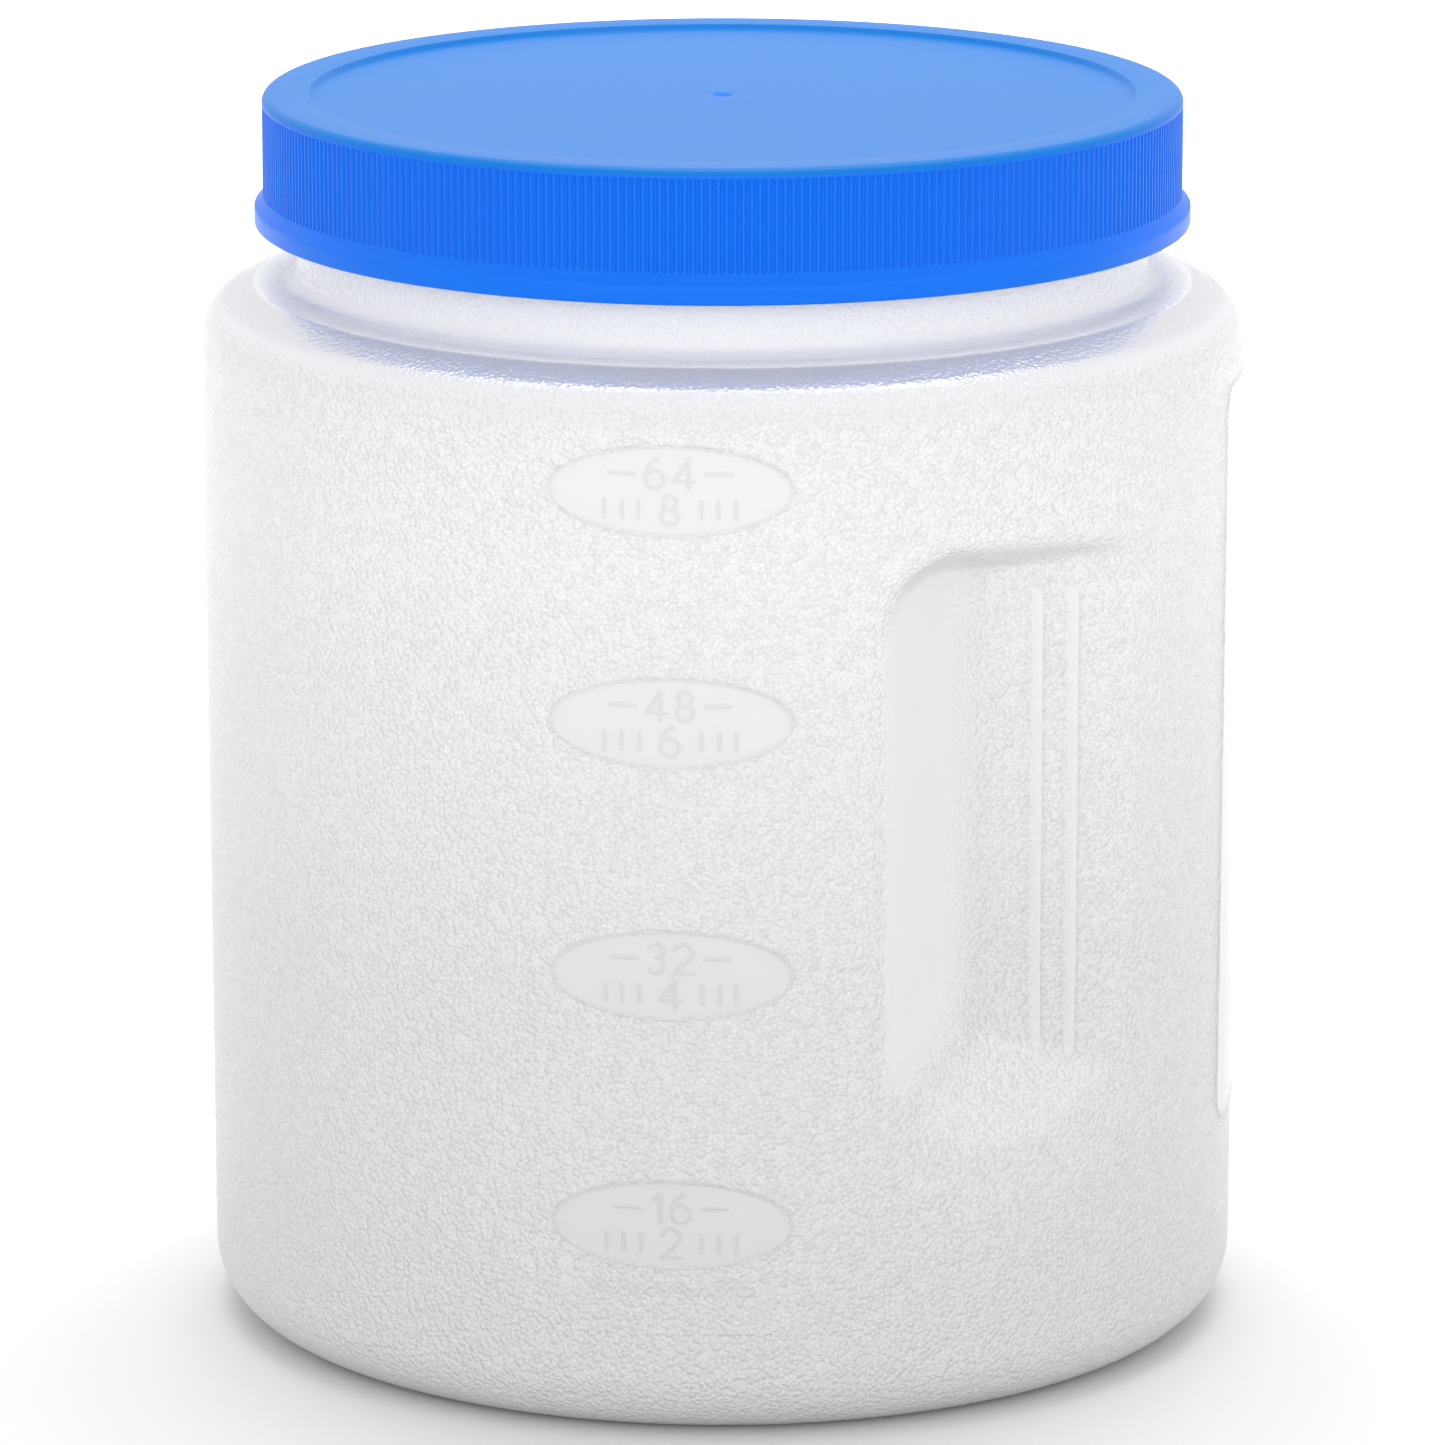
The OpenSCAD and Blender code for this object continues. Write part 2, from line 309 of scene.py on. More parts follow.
MARKS = ((130.9, "64", "8"), (99.6, "48", "6"), (65.1, "32", "4"), (30.6, "16", "2"))
OVAL_W, OVAL_H = 16.25, 6.0
ROW_SHIFT = (2.4, -2.45)
DIGIT_H = 4.0
STROKE, OVAL_LINE, MARK_SOFT = 0.42, 0.32, 0.3
MARK_RELIEF, OVAL_SINK = 0.24, 0.06


def digit_strokes(digit):
    """Polylines of one digit, 1 high, with its width."""
    if digit == "1":
        return [[(0.05, 0.78), (0.3, 1), (0.3, 0)]], 0.35
    if digit == "2":
        return [arc(0.3, 0.7, 0.3, 170, -32, 12) + [(0, 0), (0.62, 0)]], 0.62
    if digit == "3":
        return [arc(0.27, 0.755, 0.245, 155, -90, 12), arc(0.27, 0.265, 0.265, 90, -150, 14)], 0.56
    if digit == "4":
        return [[(0.48, 0), (0.48, 1), (0, 0.27), (0.66, 0.27)]], 0.66
    if digit == "6":
        return [arc(0.31, 0.31, 0.31, 0, 360, 22), arc(0.78, 0.33, 0.78, 180, 118, 8)], 0.64
    if digit == "8":
        return [arc(0.3, 0.765, 0.235, 0, 360, 20), arc(0.3, 0.275, 0.275, 0, 360, 22)], 0.6
    raise ValueError(digit)


def number_strokes(text, x, y, height):
    """Segments of a number centred on x, y."""
    gap = 0.32
    glyphs = [digit_strokes(c) for c in text]
    width = sum(w for _, w in glyphs) + gap * (len(glyphs) - 1)
    left, out = x - width * height / 2, []
    for lines, w in glyphs:
        for line in lines:
            out.append([(left + px * height, y + (py - 0.5) * height) for px, py in line])
        left += (w + gap) * height
    return out, width * height


def mark_strokes(ounces, cups, z):
    """Both rows of a volume mark: ounces between dashes, and cups between ticks."""
    top, low = z + ROW_SHIFT[0], z + ROW_SHIFT[1]
    lines, width = number_strokes(ounces, 0, top, DIGIT_H)
    for side in (-1, 1):
        start = side * (width / 2 + 1.5)
        lines.append([(start, top), (start + side * 3.4, top)])
    more, width = number_strokes(cups, 0, low, DIGIT_H)
    lines += more
    for side in (-1, 1):
        for i in range(3):
            at = side * (width / 2 + 2.9 + 2.3 * i)
            half = DIGIT_H * 0.3
            lines.append([(at, low - half), (at, low + half)])
    return lines


def stroke_distance(x, z, lines):
    """Distance from each point to the nearest of the polylines."""
    best = np.full(x.shape, 99.0)
    for line in lines:
        for (x0, z0), (x1, z1) in zip(line, line[1:]):
            dx, dz = x1 - x0, z1 - z0
            t = np.clip(((x - x0) * dx + (z - z0) * dz) / (dx * dx + dz * dz), 0, 1)
            best = np.minimum(best, np.hypot(x - x0 - t * dx, z - z0 - t * dz))
    return best


WAVE_Z, WAVE_HALF, WAVE_HEIGHT, WAVE_PITCH = 21.6, 10.8, 0.7, 3.6
WAVE_LINE, WAVE_SOFT = 0.56, 0.4


def wave_strokes():
    """A plain wavy line under the lowest mark."""
    x = np.linspace(-WAVE_HALF, WAVE_HALF, 73)
    return [list(zip(x, WAVE_Z + WAVE_HEIGHT * np.sin(x * 2 * math.pi / WAVE_PITCH)))]


def marks_relief(phi, z):
    """Height of the volume marks, and how smooth the surface is there."""
    x = TOP_R * phi
    relief, smooth = np.zeros(x.shape), np.zeros(x.shape)
    for centre, ounces, cups in MARKS:
        rows = np.flatnonzero(np.abs(z[:, 0] - centre) < OVAL_H + 1)
        cols = np.flatnonzero(np.abs(x[0]) < OVAL_W + 1)
        at = np.ix_(rows, cols)
        px, pz = x[at], z[at]
        reach = np.hypot(px / OVAL_W, (pz - centre) / OVAL_H)
        slope = np.hypot(px / OVAL_W ** 2, (pz - centre) / OVAL_H ** 2) / np.maximum(reach, 0.01)
        edge = (reach - 1) / np.maximum(slope, 0.01)
        inside = step(-edge, MARK_SOFT)
        rim = ridge(np.abs(edge), OVAL_LINE / 2, MARK_SOFT)
        strokes = mark_strokes(ounces, cups, centre)
        raised = ridge(stroke_distance(px, pz, strokes), STROKE / 2, MARK_SOFT)
        relief[at] += MARK_RELIEF * (raised * inside + rim) - OVAL_SINK * inside * (1 - rim)
        smooth[at] = np.maximum(smooth[at], np.maximum(inside, rim))
    rows = np.flatnonzero(np.abs(z[:, 0] - WAVE_Z) < 2)
    cols = np.flatnonzero(np.abs(x[0]) < WAVE_HALF + 1)
    at = np.ix_(rows, cols)
    line = ridge(stroke_distance(x[at], z[at], wave_strokes()), WAVE_LINE / 2, WAVE_SOFT)
    relief[at] += MARK_RELIEF * line
    smooth[at] = np.maximum(smooth[at], line)
    return relief, smooth


# ---- jar: seams, label panel and dimple ----

SEAMS, SEAM_LINE, SEAM_RISE, SEAM_SOFT = (15.4, 137.5), 0.2, 0.07, 0.25
PANEL_FROM, PANEL_TO = 78.5, 150.5
PANEL_LOW, PANEL_TOP = 30.6, 134.5
PANEL_CORNER = 4.0
PANEL_LINE, PANEL_RISE, PANEL_SOFT = 0.45, 0.28, 0.35
DIMPLE_TURN, DIMPLE_Z, DIMPLE_R, DIMPLE_DEPTH, DIMPLE_SOFT = 43.0, 125.3, 1.3, 0.18, 1.4


def panel_edge(phi, z):
    """Signed distance to the label panel's rounded outline, negative inside."""
    mid = math.radians((PANEL_FROM + PANEL_TO) / 2)
    half_w = TOP_R * math.radians((PANEL_TO - PANEL_FROM) / 2)
    half_h = (PANEL_TOP - PANEL_LOW) / 2
    qx = np.abs(TOP_R * (phi - mid)) - half_w + PANEL_CORNER
    qz = np.abs(z - (PANEL_TOP + PANEL_LOW) / 2) - half_h + PANEL_CORNER
    outside = np.hypot(np.maximum(qx, 0), np.maximum(qz, 0))
    return outside + np.minimum(np.maximum(qx, qz), 0) - PANEL_CORNER


def panel_line(edge):
    """The panel's raised outline, 1 on it and 0 away from it."""
    return ridge(np.abs(edge), PANEL_LINE / 2, PANEL_SOFT)


def wall_surface(phi, z):
    """Outer radius of the jar's wall, the strength of its grain and the tone of its plastic with
    painted light and shade.
    """
    radius = body_radius(z) + 0 * phi
    smooth, tone_and_shade = np.zeros(radius.shape), height_tone_and_shade(z) + 0 * phi
    for a in grip_angles(phi):
        surface, polished, fold, lip = grip_surface(a, z, 0)
        ribs = grip_ribs(a, z, surface)
        inside = step(radius - surface - 0.4, 2.4)
        radius = smooth_min(radius, surface, lip) + ribs * inside
        plain = np.maximum(np.maximum(polished, 0.4 * fold), ribs / GRIP_RIB_H)
        smooth = np.maximum(smooth, plain * inside)
        # Painted light and shade in a grip: the polished finger wall moves towards its painted
        # tone, the fold and the ceiling are painted darker and the lower slope lighter
        tone_and_shade = tone_and_shade + FINGER_PAINTED_SHARE * (FINGER_PAINTED_TONE - tone_and_shade) * polished * inside
        tone_and_shade = tone_and_shade * (1 - FOLD_SHADE * fold * inside)
    relief, marks = marks_relief(phi, z)
    radius = radius + relief
    for seam in SEAMS:
        radius = radius + SEAM_RISE * ridge(np.abs(z - seam), SEAM_LINE / 2, SEAM_SOFT)
    edge = panel_edge(phi, z)
    radius = radius + PANEL_RISE * panel_line(edge)
    away = np.hypot(TOP_R * (phi - math.radians(DIMPLE_TURN)), z - DIMPLE_Z)
    radius = radius - DIMPLE_DEPTH * step(DIMPLE_R - away, DIMPLE_SOFT)
    smooth = np.maximum(smooth, np.maximum(marks, step(-edge, 0.6)))
    # The tone is painted darker at the feet of the raised marks and the panel's outline, as painted
    # shade
    return radius, 1 - smooth, tone_and_shade * (1 - EDGE_SHADE * relief_foot_shade(phi, z))


def relief_foot_shade(phi, z):
    """How close each point is to the foot of a raised line, where shade is painted."""
    phi = phi + 0 * z
    relief = marks_relief(phi, z)[0] / MARK_RELIEF
    relief = np.clip(relief + panel_line(panel_edge(phi, z)), 0, 1)
    return 4 * relief * (1 - relief)


def inner_wall(phi, z):
    """Inner radius of the jar's wall, which follows the grips but not the marks."""
    radius = body_radius(z) - WALL + 0 * phi
    for a in grip_angles(phi):
        surface, _, _, lip = grip_surface(a, z, WALL)
        radius = smooth_min(radius, surface, lip)
    return radius


# ---- jar: neck thread ----

PITCH, TURNS = 5.08, 1.25
NECK_THREAD_Z, NECK_THREAD_H = 158.6, 1.4
# Heights on the neck: where its grain ends, and where its rows are close enough for the thread
NECK_GRAIN_TOP, THREAD_LOW, THREAD_TOP = 155, 156, 167.2
THREAD_ROOT, THREAD_CREST = 2.2, 1.0
TAPER = 20.0


def thread_height(phi, z, start_z, height):
    """Height of a right-hand thread that starts on +X, with ends that fade into the wall."""
    turn = (phi - math.pi / 2) / (2 * math.pi)
    total = np.zeros(np.broadcast(phi, z).shape)
    for lap in range(-1, 3):
        along = turn + lap
        fade = np.clip(np.minimum(along, TURNS - along) * 360 / TAPER, 0, 1)
        off = np.abs(z - start_z - PITCH * along)
        flank = (THREAD_ROOT / 2 - off) / (THREAD_ROOT - THREAD_CREST) * 2
        total = np.maximum(total, height * fade * step(flank - 0.5, 1.1))
    return total


# ---- jar: mesh ----

JAR_COLUMNS = np.radians(spaced(
    (-14.5, -8.5, 0.25), (-8.5, 8.5, 0.16), (8.5, 14.5, 0.25), (14.5, 20, 0.9),
    (20, 41.5, 0.5), (41.5, 50.5, 0.25), (50.5, 58, 0.6), (58, 77.5, 1.2),
    (77.5, 83, 0.2), (83, 146, 1.2), (146, 151.5, 0.2), (151.5, 171, 1.2),
    (171, 178.5, 0.6), (178.5, 187.5, 0.25), (187.5, 209, 0.5), (209, 345.5 - 1.2, 1.2),
))


def jar_wall_rows():
    """Heights of the rows on the wall, close together where there is fine relief."""
    parts = [(CORNER, 15, 0.8), (15, 15.8, 0.1), (15.8, 20, 1), (20, 23.2, 0.2)]
    low = 23.2
    for centre, *_ in reversed(MARKS):
        start, end = centre - OVAL_H - 0.4, centre + OVAL_H + 0.4
        parts += [(low, start, 0.9), (start, end, 0.21)]
        low = end
    parts += [(112, 127, 0.5), (low, 138, 0.1), (138, WALL_TOP, 0.5)]
    return spaced(*parts)


def base_profile():
    """Rows of the jar's base, from its middle to the wall's foot: radius, height and grain."""
    base = [(r, PUSH_UP, BASE_GRAIN) for r in np.linspace(1, RING_IN - PUSH_RUN, 12)]
    push = [(RING_IN - PUSH_RUN * (1 - t), PUSH_UP * (1 - step(t - 0.5, 1)), BASE_GRAIN)
            for t in np.linspace(0.1, 1, 10)]
    stand = [(RING_IN + 3.5, 0, BASE_GRAIN)]
    corner = [(*p, BASE_GRAIN + (1 - BASE_GRAIN) * k / 15) for k, p in
              enumerate(arc(BASE_R - CORNER, CORNER, CORNER, -90, 0, 16)[:-1])]
    return base + push + stand + corner


def shoulder_profile():
    """Rows from the top of the wall over the shoulder and up the neck to the rim. The grain
    fades out over the last part of the shoulder's curve."""
    curve = arc(TOP_R - SHOULDER_R, WALL_TOP, SHOULDER_R, 4, 90 - SHOULDER_SLOPE, 16)
    cone = between(CURVE_END, (LEDGE_R, LEDGE_Z), (0.15, 0.35, 0.55, 0.75, 0.88))
    ledge = [(LEDGE_R - d, LEDGE_Z - sag) for d, sag in
             ((-0.1, 0.07), (0.15, 0.02), (0.5, 0), (1.4, 0), (2.6, 0), (3.6, 0))]
    fillet = arc(NECK_R + FILLET, LEDGE_Z + FILLET, FILLET, 270, 180, 8)
    rows = spaced((fillet[-1][1] + 0.8, THREAD_LOW, 1), (THREAD_LOW, THREAD_TOP, 0.3))
    neck = [(NECK_R, z) for z in rows]
    lip = arc(NECK_R - 0.5, RIM - 0.5, 0.5, 0, 90, 4)
    fade = SHOULDER_GRAIN - PLAIN_GRAIN
    outside = [(*p, SHOULDER_GRAIN - fade * step(k - 8, 9)) for k, p in enumerate(curve)]
    outside += [(*p, PLAIN_GRAIN) for p in cone + ledge + fillet]
    outside += [(r, z, NECK_GRAIN if z < NECK_GRAIN_TOP else PLAIN_GRAIN) for r, z in neck + lip]
    inside = arc(BORE + 0.5, RIM - 0.5, 0.5, 90, 180, 4)
    return outside, [(*p, PLAIN_GRAIN) for p in inside]


def cavity_profile():
    """Rows of the jar's inside from its bore down to the top of the wall, and from the wall's
    foot to the middle of the floor."""
    curve = arc(TOP_R - SHOULDER_R, WALL_TOP, SHOULDER_R - WALL, 90 - SHOULDER_SLOPE, 4, 8)
    corner = (LEDGE_R - WALL * math.tan(SLOPE / 2), LEDGE_Z - WALL)
    neck = [(BORE, z) for z in np.linspace(RIM - 2, corner[1] + 0.4, 8)]
    ledge = [(r, corner[1]) for r in (BORE + 0.2, BORE + 3, corner[0] - 0.3)]
    cone = between(corner, curve[0], (0.1, 0.5, 0.9))
    foot = arc(BASE_R - CORNER, CORNER, CORNER - WALL, 0, -90, 12)
    foot = [(r, max(z, FLOOR_Z)) for r, z in foot[1:]]
    push = [(RING_IN - PUSH_RUN * t, FLOOR_Z + PUSH_UP * step(t - 0.5, 1))
            for t in np.linspace(0, 1, 8)]
    middle = [(r, FLOOR_Z + PUSH_UP) for r in (40, 30, 20, 10, 1)]
    return neck + ledge + cone + curve, foot + push + middle


def revolve_rows(rows, phi):
    """Radius, height and grain grids of plain revolved rows."""
    rows = np.array(rows, dtype=float)
    one = np.ones_like(phi)
    return rows[:, :1] * one, rows[:, 1:2] * one, rows[:, 2:3] * one


def inner_rows(phi):
    """Radius, height and grain grids of the inside of the wall, from its top down."""
    z = spaced((CORNER + 0.5, 36, 2.5), (36, 56, 1.2), (56, 108, 4), (108, 124, 1), (124, 138, 3))
    z = z[::-1][:, None] + 0 * phi
    return inner_wall(phi + 0 * z, z), z, INSIDE_GRAIN + 0 * z


def jar_grids(phi):
    """Radius, height, grain and tone, with painted light and shade, of the jar's skin: base, wall,
    shoulder and neck, then the inside back down to the middle of the floor."""
    base = revolve_rows(base_profile(), phi)
    wall_z = jar_wall_rows()[:, None] + 0 * phi
    wall_r, wall_grain, wall_tone_and_shade = wall_surface(phi + 0 * wall_z, wall_z)
    up, lip = (revolve_rows(rows, phi) for rows in shoulder_profile())
    thread = thread_height(phi, up[1], NECK_THREAD_Z, NECK_THREAD_H)
    neck_r = up[0] + np.where(up[1] > THREAD_LOW, thread, 0)
    down, floor = (revolve_rows([(*p, INSIDE_GRAIN) for p in rows], phi)
                   for rows in cavity_profile())
    blocks = [base, (wall_r, wall_z, wall_grain), (neck_r, up[1], up[2]), lip,
              down, inner_rows(phi), floor]
    r, z, grain = (np.concatenate(grids) for grids in zip(*blocks))
    tone_and_shade = height_tone_and_shade(z)
    tone_and_shade[len(base[0]):len(base[0]) + len(wall_z)] = wall_tone_and_shade
    return r, z, grain, tone_and_shade


def build_jar():
    """The jar as one closed skin, with its grain, colour with painted light and shade, and gloss
    stored at each vertex.
    """
    phi = JAR_COLUMNS[None, :]
    r, z, grain, tone_and_shade = jar_grids(phi)
    rows, cols = r.shape
    poles = np.array([[0, 0, z[0, 0]], [0, 0, z[-1, 0]]])
    verts = np.concatenate([ring_points(r, z, phi), poles])
    first, last = rows * cols, rows * cols + 1
    faces = [grid_faces(rows, cols), fan_faces(0, cols, first, True),
             fan_faces((rows - 1) * cols, cols, last, False)]
    obj = make_mesh("jar_body", verts, faces, "jar", "jar")
    add_attribute(obj, "grain", np.concatenate([grain.ravel(), [BASE_GRAIN, INSIDE_GRAIN]]))
    colour_and_shade = tinted(tone_and_shade, z).reshape(-1, 3)
    add_attribute(obj, "colour_and_shade", np.concatenate([colour_and_shade, colour_and_shade[:1], colour_and_shade[:1]]))
    add_attribute(obj, "gloss", np.concatenate([shoulder_gloss(r, z).ravel(), [0, 0]]))
    return obj


# ---- lid ----

LID_R, BAND_R, FLANGE_R = 63.4, 63.45, 64.6
LID_Z, FLANGE_TOP, RIB_LOW, LID_TOP = 154.2, 156.9, 158.3, 172.2
LID_ROUND = 1.25
DISC_R, DISC_Z, GATE_DEPTH = 57.1, LID_TOP - 0.7, 0.32
BORE_R, CEILING = 60.9, 169.6
RIB_COUNT, RIB_H = 360, 0.35
RIB_AT = (-0.15, 0.15, 0.25, 0.38, 0.62, 0.75)
RIB_DEEP = (0.0, 0.0, 0.6, 1.0, 1.0, 0.6)
LID_THREAD_H, LID_THREAD_DROP = 1.5, 1.78


def lid_outside():
    """Rows of the lid's outside, flange to rim: radius, height and depth of the rib valleys."""
    low = [(BORE_R + 0.5, LID_Z, 0)]
    low += [(*p, 0) for p in arc(FLANGE_R - 0.45, LID_Z + 0.45, 0.45, -90, 0, 5)]
    flange = [(FLANGE_R, FLANGE_TOP - 0.7, 0)]
    flange += [(*p, 0) for p in arc(FLANGE_R - 0.5, FLANGE_TOP - 0.35, 0.5, 0, 48, 5)[1:]]
    slope = [(FLANGE_R - 0.55, FLANGE_TOP + 0.45, 0), (BAND_R + 0.12, RIB_LOW - 0.35, 0),
             (BAND_R, RIB_LOW, 0)]
    top = LID_TOP - LID_ROUND
    ribs = [(LID_R, RIB_LOW + 0.18, 0.85), (LID_R, RIB_LOW + 0.4, 1)]
    ribs += [(LID_R, z, 1) for z in np.linspace(RIB_LOW + 2, top - 1.5, 6)]
    ribs += [(LID_R, top - 0.4, 1), (LID_R, top - 0.15, 0.8), (BAND_R, top, 0)]
    edge = [(*p, 0) for p in arc(BAND_R - LID_ROUND, top, LID_ROUND, 8, 90, 10)]
    return low + flange + slope + ribs + edge + [(61.2, LID_TOP, 0)]


def lid_inside():
    """Rows from the rim in over the sunken disc to its middle."""
    corner = arc(DISC_R, LID_TOP - 0.3, 0.3, 90, 135, 3)
    corner += arc(DISC_R - 0.72, LID_TOP - 0.4, 0.3, -45, -90, 3)
    flat = [(r, DISC_Z) for r in (55.5, 53, 45, 36, 27, 18, 10, 5, 2.6)]
    gate = [(1.7, DISC_Z - 0.02), (1.35, DISC_Z - 0.12), (1.0, DISC_Z - 0.28),
            (0.5, DISC_Z - GATE_DEPTH)]
    return corner + flat + gate


def lid_under():
    """Rows from the disc's underside out to the skirt and down its bore, threads left out."""
    flat = [(r, CEILING) for r in (2, 8, 20, 35, 48, 56, 59.5)]
    corner = arc(BORE_R - 0.6, CEILING - 0.6, 0.6, 90, 0, 5)
    bore = [(BORE_R, z) for z in np.linspace(CEILING - 1, LID_Z + 0.9, 50)]
    return flat + corner + bore + [(BORE_R, LID_Z + 0.4), (BORE_R + 0.15, LID_Z + 0.1)]


def ring_ngons(outer_first, inner_first, per, count, flip):
    """Flat faces between a ring of per * count vertices and a ring of count vertices."""
    j = np.arange(count)
    outer = [outer_first + (j * per + k) % (per * count) for k in range(per + 1)]
    inner = [inner_first + (j + 1) % count, inner_first + j]
    face = np.stack(outer + inner, -1)
    return face[:, ::-1] if flip else face


def build_lid():
    """The lid as one closed skin, whose ribbed outside has more columns than its inside."""
    per = len(RIB_AT)
    steps = np.arange(RIB_COUNT)[:, None] + np.array(RIB_AT)[None, :]
    fine = np.radians(steps.ravel() * 360 / RIB_COUNT)
    deep = np.tile(RIB_DEEP, RIB_COUNT)
    coarse = np.radians((np.arange(RIB_COUNT) + RIB_AT[0]) * 360 / RIB_COUNT)
    out = np.array(lid_outside(), dtype=float)
    r_out = out[:, :1] - RIB_H * out[:, 2:] * deep[None, :]
    z_out = out[:, 1:2] + 0 * r_out
    top = np.array(lid_inside(), dtype=float)
    under = np.array(lid_under(), dtype=float)
    z_under = under[:, 1:] + 0 * coarse
    thread = thread_height(coarse[None, :], z_under, NECK_THREAD_Z - LID_THREAD_DROP, LID_THREAD_H)
    r_under = under[:, :1] - np.where(under[:, :1] > BORE_R - 0.01, thread, 0)
    blocks = [
        (r_out, z_out, fine[None, :]),
        (top[:, :1] + 0 * coarse, top[:, 1:] + 0 * coarse, coarse[None, :]),
        (r_under, z_under, coarse[None, :]),
    ]
    verts, firsts = [], []
    for r, z, phi in blocks:
        firsts.append(sum(len(v) for v in verts))
        verts.append(ring_points(r, z, phi))
    poles = sum(len(v) for v in verts)
    verts.append(np.array([[0, 0, DISC_Z - GATE_DEPTH], [0, 0, CEILING]]))
    n_fine, n = len(fine), RIB_COUNT
    last_out = firsts[0] + (len(out) - 1) * n_fine
    last_under = firsts[2] + (len(under) - 1) * n
    faces = [
        firsts[0] + grid_faces(len(out), n_fine),
        firsts[1] + grid_faces(len(top), n),
        firsts[2] + grid_faces(len(under), n),
        ring_ngons(last_out, firsts[1], per, n, False),
        ring_ngons(firsts[0], last_under, per, n, True),
        fan_faces(firsts[1] + (len(top) - 1) * n, n, poles, False),
        fan_faces(firsts[2], n, poles + 1, True),
    ]
    return make_mesh("lid_cap", np.concatenate(verts), faces, "lid", "lid")


# ---- liner ----

LINER_R, LINER_T = 60.3, 1.0


def build_liner():
    """A foam disc with softened edges, marked by the rim that presses into it."""
    phi = np.radians(np.arange(0, 360, 1.5))[None, :]
    low, high = RIM, RIM + LINER_T
    rows = [(1, low), (25, low), (48, low), (55.5, low), (56.6, low + 0.03), (57.2, low + 0.12),
            (58.6, low + 0.12), (59.2, low + 0.03)]
    rows += arc(LINER_R - 0.35, low + 0.35, 0.35, -90, 0, 5)
    rows += arc(LINER_R - 0.35, high - 0.35, 0.35, 0, 90, 5)
    rows += [(55, high), (30, high), (1, high)]
    rows = np.array(rows, dtype=float)
    r, z = rows[:, :1] + 0 * phi, rows[:, 1:] + 0 * phi
    verts = np.concatenate([ring_points(r, z, phi), [[0, 0, low], [0, 0, high]]])
    count, cols = r.shape
    faces = [grid_faces(count, cols), fan_faces(0, cols, count * cols, True),
             fan_faces((count - 1) * cols, cols, count * cols + 1, False)]
    return make_mesh("liner_disc", verts, faces, "liner", "liner")


# ---- materials ----

def new_material(name):
    """A material with only a Principled shader, and short ways to add and link nodes."""
    mat = bpy.data.materials.new(name)
    mat.use_nodes = True
    nodes, links = mat.node_tree.nodes, mat.node_tree.links
    shader = nodes["Principled BSDF"]

    def add(kind, values=None, **settings):
        node = nodes.new("ShaderNode" + kind)
        for key, value in settings.items():
            setattr(node, key, value)
        for key, value in (values or {}).items():
            node.inputs[key].default_value = value
        return node

    return mat, shader, add, links.new


def ramp(add, link, source, low, high, start=0.0, end=1.0):
    """Maps source from start..end to low..high."""
    node = add("MapRange", {"From Min": start, "From Max": end, "To Min": low, "To Max": high})
    link(source, node.inputs["Value"])
    return node.outputs["Result"]


def mix_colours(add, link, factor, a, b):
    """Blends two colours by a factor from 0 for a to 1 for b."""
    node = add("Mix", data_type="RGBA")
    link(factor, node.inputs["Factor"])
    node.inputs[6].default_value = (*a, 1)
    node.inputs[7].default_value = (*b, 1)
    return node.outputs[2]


def multiply(add, link, a, b):
    """Product of two values, each a number or another node's output."""
    node = add("Math", operation="MULTIPLY")
    for value, socket in ((a, node.inputs[0]), (b, node.inputs[1])):
        if isinstance(value, float):
            socket.default_value = value
        else:
            link(value, socket)
    return node.outputs[0]


# Width of a pebble of the grain, and how far it stands out, in millimetres
GRAIN_SIZE, GRAIN_HEIGHT = 0.66, 0.36


def jar_material():
    """Milky translucent polyethylene with a pebble grain, smooth where the mould was polished. Its
    colour carries painted light and shade, and its grain's creases are painted darker.
    """
    mat, shader, add, link = new_material("natural_polyethylene")
    place = add("TexCoord").outputs["Object"]
    wander = add("TexNoise", {"Scale": 420.0, "Detail": 2.0, "Roughness": 0.6})
    link(place, wander.inputs["Vector"])
    bend = add("VectorMath", {"Scale": 0.0005}, operation="SCALE")
    link(wander.outputs["Color"], bend.inputs[0])
    moved = add("VectorMath", operation="ADD")
    link(place, moved.inputs[0])
    link(bend.outputs[0], moved.inputs[1])
    pebbles = add("TexVoronoi", {"Scale": 1000 / GRAIN_SIZE, "Randomness": 1.0})
    link(moved.outputs[0], pebbles.inputs["Vector"])
    height = ramp(add, link, pebbles.outputs["Distance"], 1.0, 0.0, 0.05, 0.8)
    grain = add("Attribute", attribute_name="grain")
    grained = multiply(add, link, height, grain.outputs["Fac"])
    bump = add("Bump", {"Strength": 1.0, "Distance": GRAIN_HEIGHT * MM})
    link(grained, bump.inputs["Height"])
    link(bump.outputs["Normal"], shader.inputs["Normal"])
    # Painted shade in the grain's creases and painted light on the pebble tops; smooth parts take a
    # flat 0.89
    painted_crease_shade = ramp(add, link, height, 0.945, 1.015, 0.1, 0.6)
    plain = add("Mix", {"A": 0.89})
    link(grain.outputs["Fac"], plain.inputs["Factor"])
    link(painted_crease_shade, plain.inputs["B"])
    colour_and_shade = add("Attribute", attribute_name="colour_and_shade")
    shade = add("VectorMath", operation="SCALE")
    link(colour_and_shade.outputs["Vector"], shade.inputs[0])
    link(plain.outputs["Result"], shade.inputs["Scale"])
    link(shade.outputs[0], shader.inputs["Base Color"])
    gloss = add("Attribute", attribute_name="gloss")
    link(gloss.outputs["Fac"], shader.inputs["Metallic"])
    link(ramp(add, link, grain.outputs["Fac"], 0.2, 0.34), shader.inputs["Roughness"])
    shader.inputs["Subsurface Weight"].default_value = 0.3
    shader.inputs["Subsurface Radius"].default_value = (1.0, 1.0, 1.0)
    shader.inputs["Subsurface Scale"].default_value = 0.003
    shader.inputs["IOR"].default_value = 1.5
    return mat


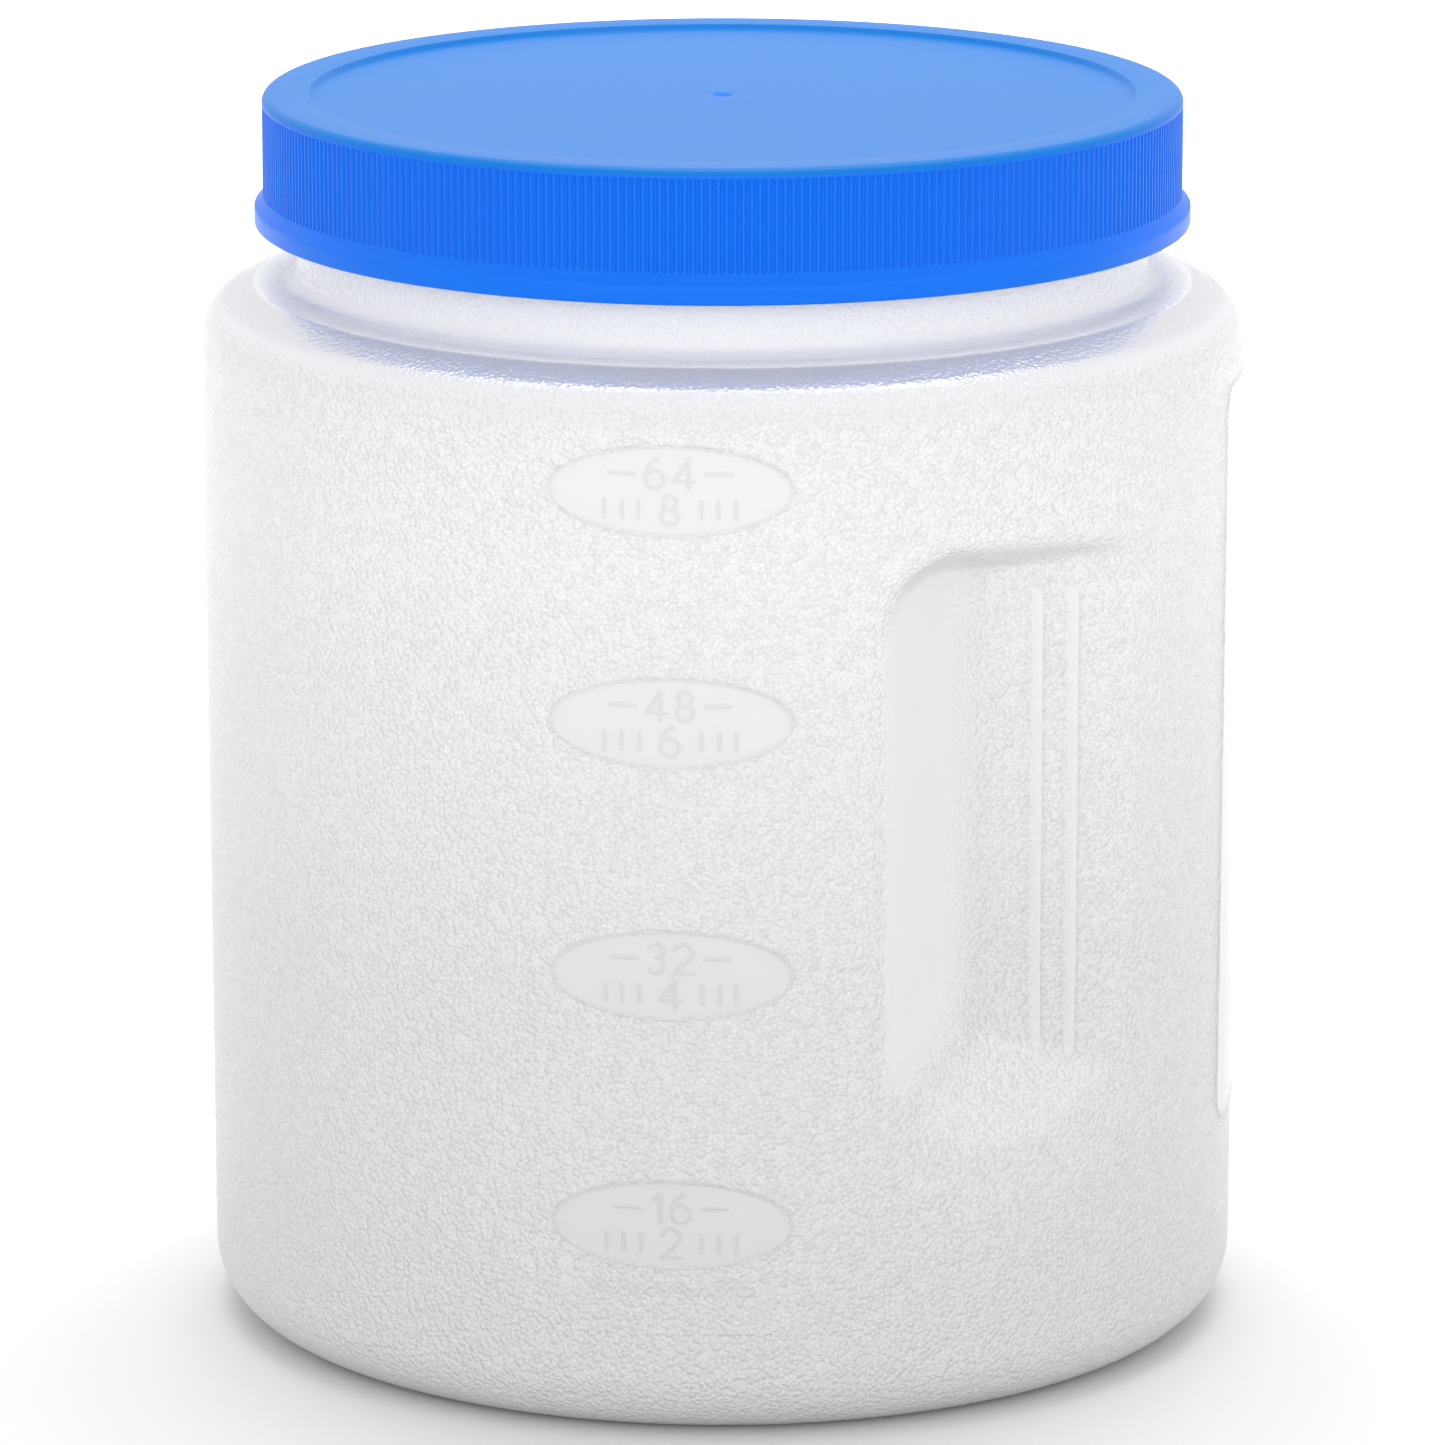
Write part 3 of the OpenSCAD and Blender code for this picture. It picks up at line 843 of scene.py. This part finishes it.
def lid_material():
    """Blue polypropylene with a satin mould finish. The top disc is painted a darker blue as
    painted shade, with faint flow marks.
    """
    mat, shader, add, link = new_material("blue_polypropylene")
    place = add("TexCoord").outputs["Object"]
    flow = add("TexNoise", {"Scale": 60.0, "Detail": 3.0, "Roughness": 0.6})
    link(place, flow.inputs["Vector"])
    split = add("SeparateXYZ")
    link(place, split.inputs[0])
    # Painted shade: the top disc is a darker blue, varied by the flow marks
    top = ramp(add, link, split.outputs["Z"], 0.0, 1.0, (DISC_Z - 0.3) * MM, DISC_Z * MM)
    painted_top_shade = multiply(add, link, top, ramp(add, link, flow.outputs["Fac"], 0.9, 1.0, 0.3, 0.7))
    tint = mix_colours(add, link, painted_top_shade, (0.001, 0.152, 0.78), (0.001, 0.165, 0.54))
    link(tint, shader.inputs["Base Color"])
    satin = add("TexNoise", {"Scale": 2600.0, "Detail": 2.0, "Roughness": 0.5})
    link(place, satin.inputs["Vector"])
    bump = add("Bump", {"Strength": 0.25, "Distance": 0.00003})
    link(satin.outputs["Fac"], bump.inputs["Height"])
    link(bump.outputs["Normal"], shader.inputs["Normal"])
    link(ramp(add, link, satin.outputs["Fac"], 0.32, 0.44), shader.inputs["Roughness"])
    shader.inputs["IOR"].default_value = 1.49
    shader.inputs["Specular IOR Level"].default_value = 0.17
    return mat


def liner_material():
    """White closed-cell foam with fine pores."""
    mat, shader, add, link = new_material("liner_foam")
    place = add("TexCoord").outputs["Object"]
    pores = add("TexVoronoi", {"Scale": 2200.0, "Randomness": 1.0})
    link(place, pores.inputs["Vector"])
    tint = mix_colours(add, link, pores.outputs["Distance"], (0.80, 0.80, 0.77), (0.92, 0.92, 0.89))
    link(tint, shader.inputs["Base Color"])
    bump = add("Bump", {"Strength": 0.5, "Distance": 0.0001})
    link(pores.outputs["Distance"], bump.inputs["Height"])
    link(bump.outputs["Normal"], shader.inputs["Normal"])
    shader.inputs["Roughness"].default_value = 0.75
    return mat


def floor_material():
    """Pale matt studio floor."""
    mat, shader, _, _ = new_material("floor")
    shader.inputs["Base Color"].default_value = (0.745, 0.745, 0.745, 1)
    shader.inputs["Roughness"].default_value = 0.9
    return mat


# ---- studio ----

FLOOR_SIZE = 12.0


def add_floor():
    """A wide flat floor that is shown but isn't part of the object."""
    mesh = bpy.data.meshes.new("floor")
    h = FLOOR_SIZE / 2
    mesh.from_pydata([(-h, -h, 0), (h, -h, 0), (h, h, 0), (-h, h, 0)], [], [(0, 1, 2, 3)])
    floor = bpy.data.objects.new("floor", mesh)
    bpy.context.collection.objects.link(floor)
    floor.data.materials.append(floor_material())


def add_area(name, place, size, power, aim=(0, 0, 0.09), spread=180, mirrored=True):
    """A soft box at place, facing aim, with or without a reflection of its own."""
    data = bpy.data.lights.new(name, "AREA")
    data.shape = "RECTANGLE"
    data.size, data.size_y = size
    data.energy = power
    data.spread = math.radians(spread)
    light = bpy.data.objects.new(name, data)
    light.location = place
    way = np.array(aim) - np.array(place)
    flat = math.hypot(way[0], way[1])
    light.rotation_euler = (math.atan2(flat, -way[2]), 0, math.atan2(-way[0], way[1]))
    light.visible_camera = False
    light.visible_glossy = mirrored
    bpy.context.collection.objects.link(light)


def add_sky():
    """White studio light, the same from all round."""
    world = bpy.data.worlds.new("studio")
    bpy.context.scene.world = world
    world.use_nodes = True
    background = world.node_tree.nodes["Background"]
    background.inputs["Color"].default_value = (1, 1, 1, 1)
    background.inputs["Strength"].default_value = 1.0


def add_studio():
    """An even sky, a box over the floor behind, one over the jar and a wide one in front."""
    add_sky()
    add_area("back_box", (0, 1.25, 1.15), (2.6, 1.3), 17, (0, 1.2, 0), 96, False)
    add_area("top_box", (0, 0.4, 1.7), (1.4, 0.8), 12, (0, 0, 0.15))
    add_area("front_box", (0.3, -2.2, 0.6), (3.8, 1.0), 15)
    bpy.context.scene.view_settings.view_transform = "Standard"


jar = build_jar()
lid = build_lid()
liner = build_liner()
jar.data.materials.append(jar_material())
lid.data.materials.append(lid_material())
liner.data.materials.append(liner_material())
add_floor()
add_studio()

bpy.context.view_layer.update()
